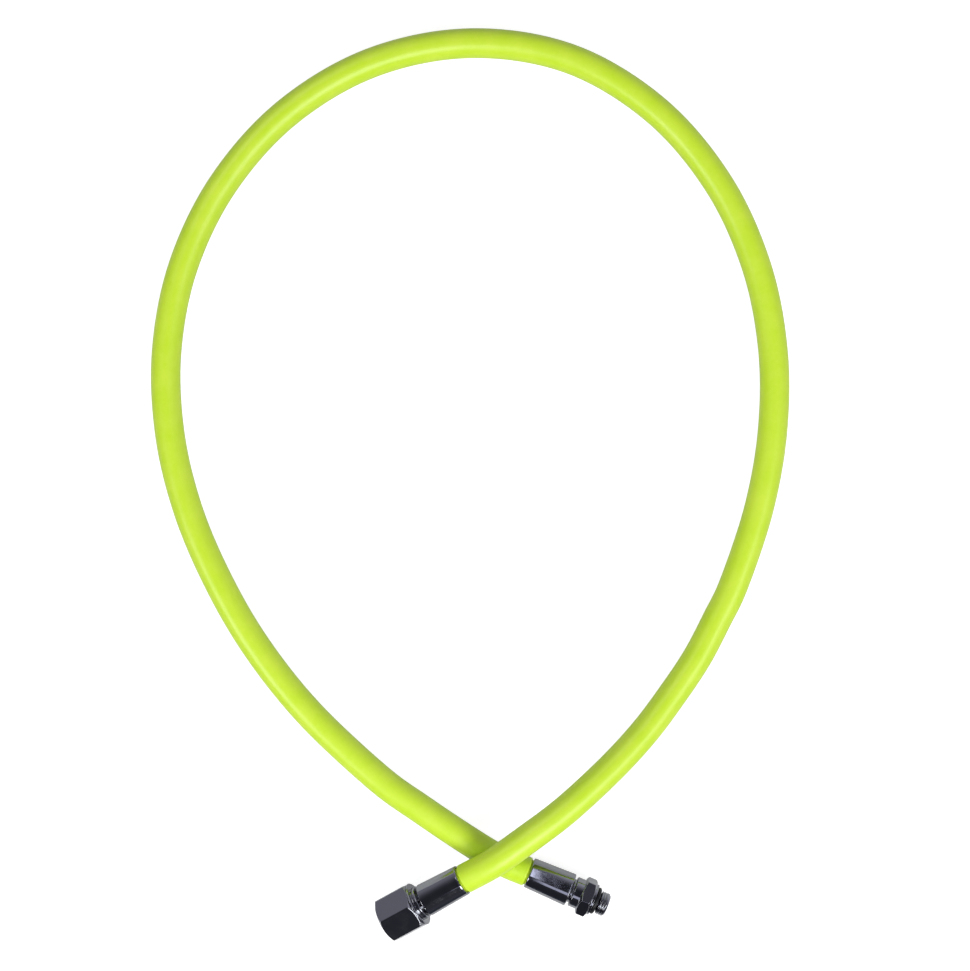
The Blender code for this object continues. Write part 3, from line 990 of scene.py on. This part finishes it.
def makeFloor(look):
    half = look["floorSize"] / 2
    mesh = bpy.data.meshes.new("whiteSheet")
    corners = [(-half, -half, 0), (half, -half, 0), (half, half, 0), (-half, half, 0)]
    mesh.from_pydata(corners, [], [(0, 1, 2, 3)])
    floor = bpy.data.objects.new("whiteSheet", mesh)
    bpy.context.scene.collection.objects.link(floor)
    material, tree = newMaterial("whitePaperSheet")
    path = addNode(tree, "ShaderNodeLightPath")
    mirrored = addNode(
        tree,
        "ShaderNodeMath",
        {},
        {0: path.outputs["Is Glossy Ray"], 1: path.outputs["Is Transmission Ray"]},
        operation="MAXIMUM",
    )
    dim = addNode(
        tree,
        "ShaderNodeMath",
        {1: look["mirrorGlow"]},
        {0: mirrored.outputs["Value"]},
        operation="MULTIPLY",
    )
    strength = addNode(
        tree,
        "ShaderNodeMath",
        {1: look["floorGlow"]},
        {0: path.outputs["Is Camera Ray"], 2: dim.outputs["Value"]},
        operation="MULTIPLY_ADD",
    )
    glow = addNode(tree, "ShaderNodeEmission", {}, {"Strength": strength.outputs["Value"]})
    matteShader = addNode(tree, "ShaderNodeBsdfDiffuse", {"Color": linear(look["floorColour"])})
    both = addNode(
        tree, "ShaderNodeAddShader", {}, {0: glow.outputs["Emission"], 1: matteShader.outputs["BSDF"]}
    )
    addNode(tree, "ShaderNodeOutputMaterial", {}, {"Surface": both.outputs["Shader"]})
    mesh.materials.append(material)


def makePaintedShade(look):
    # A dark sheet of painted shade lying on the floor. It casts no shadow and lights nothing. Only
    # the metal's reflections see it, darker there than the lit floor below.
    wide, deep = look["paintedShadeSize"]
    front, lift = look["paintedShadeFront"], look["paintedShadeLift"]
    mesh = bpy.data.meshes.new("paintedShadeSheet")
    corners = [(-wide / 2, front - deep, lift), (wide / 2, front - deep, lift)]
    corners += [(wide / 2, front, lift), (-wide / 2, front, lift)]
    mesh.from_pydata(corners, [], [(0, 1, 2, 3)])
    paintedShadeObject = bpy.data.objects.new("paintedShadeSheet", mesh)
    bpy.context.scene.collection.objects.link(paintedShadeObject)
    paintedShadeObject.visible_camera = False
    paintedShadeObject.visible_diffuse = False
    paintedShadeObject.visible_shadow = False
    material, tree = newMaterial("paintedShadeInMetal")
    matteShader = addNode(tree, "ShaderNodeBsdfDiffuse", {"Color": linear(look["paintedShadeColour"])})
    addNode(tree, "ShaderNodeOutputMaterial", {}, {"Surface": matteShader.outputs["BSDF"]})
    mesh.materials.append(material)


def makeRoom(look):
    # The sky's colour is ceiling + (wall - ceiling) * low * way. For a direction with the
    # unit vector d, low is smooth from 0 where d.z is wallTop to 1 where it is wallFoot, and
    # way is wallSides[0] + wallSides[1] * (d . wallWay).
    world = bpy.data.worlds.new("dimRoom")
    bpy.context.scene.world = world
    world.use_nodes = True
    tree = world.node_tree
    tree.nodes.clear()
    d = addNode(tree, "ShaderNodeTexCoord").outputs["Generated"]
    height = addNode(tree, "ShaderNodeSeparateXYZ", {}, {"Vector": d}).outputs["Z"]
    low = addNode(
        tree,
        "ShaderNodeMapRange",
        {"From Min": look["wallTop"], "From Max": look["wallFoot"]},
        {"Value": height},
        interpolation_type="SMOOTHSTEP",
    )
    facing = addNode(
        tree, "ShaderNodeVectorMath", {1: (*look["wallWay"], 0.0)}, {0: d}, operation="DOT_PRODUCT"
    )
    way = addNode(
        tree,
        "ShaderNodeMath",
        {1: look["wallSides"][1], 2: look["wallSides"][0]},
        {0: facing.outputs["Value"]},
        operation="MULTIPLY_ADD",
    )
    share = addNode(
        tree,
        "ShaderNodeMath",
        {},
        {0: low.outputs["Result"], 1: way.outputs["Value"]},
        operation="MULTIPLY",
    )
    colour = addNode(
        tree,
        "ShaderNodeMix",
        {"A": linear(look["ceiling"]), "B": linear(look["wall"])},
        {"Factor": share.outputs["Value"]},
        data_type="RGBA",
    )
    # the camera itself sees a white backdrop beyond the sheet
    path = addNode(tree, "ShaderNodeLightPath")
    seen = addNode(
        tree,
        "ShaderNodeMix",
        {"B": (1.0, 1.0, 1.0, 1.0)},
        {"A": colour.outputs["Result"], "Factor": path.outputs["Is Camera Ray"]},
        data_type="RGBA",
    )
    sky = addNode(tree, "ShaderNodeBackground", {}, {"Color": seen.outputs["Result"]})
    addNode(tree, "ShaderNodeOutputWorld", {}, {"Surface": sky.outputs["Background"]})


def makeLamp(name, bearing, height, reach, aim, size, power, colour=(1, 1, 1)):
    # A rectangular lamp at aim + reach * (cos b cos h, sin b cos h, sin h), facing its aim,
    # for the bearing b and the height h in degrees. It lights and is mirrored, but doesn't
    # stand in the picture.
    b, h = math.radians(bearing), math.radians(height)
    way = Vector((math.cos(b) * math.cos(h), math.sin(b) * math.cos(h), math.sin(h)))
    lamp = bpy.data.lights.new(name, "AREA")
    lamp.shape = "RECTANGLE"
    lamp.size, lamp.size_y = size
    lamp.energy = power
    lamp.color = colour
    holder = bpy.data.objects.new(name, lamp)
    holder.location = Vector(aim) + reach * way
    holder.rotation_euler = way.to_track_quat("Z", "Y").to_euler()
    holder.visible_camera = False
    bpy.context.scene.collection.objects.link(holder)


makeFloor(stageLook)
makePaintedShade(stageLook)
makeRoom(stageLook)
lampSquare = (stageLook["lampSize"], stageLook["lampSize"])
reach, aim = stageLook["lampReach"], stageLook["lampAim"]
for index, (bearing, height, power) in enumerate(stageLook["lamps"]):
    makeLamp(f"softLamp{index}", bearing, height, reach, aim, lampSquare, power)
reach, colour = stageLook["paneReach"], stageLook["paneColour"]
for index, (bearing, height, power, size, aim) in enumerate(stageLook["panes"]):
    makeLamp(f"pane{index}", bearing, height, reach, aim, size, power, colour)
bpy.context.scene.view_settings.view_transform = "Standard"
print("stage set")
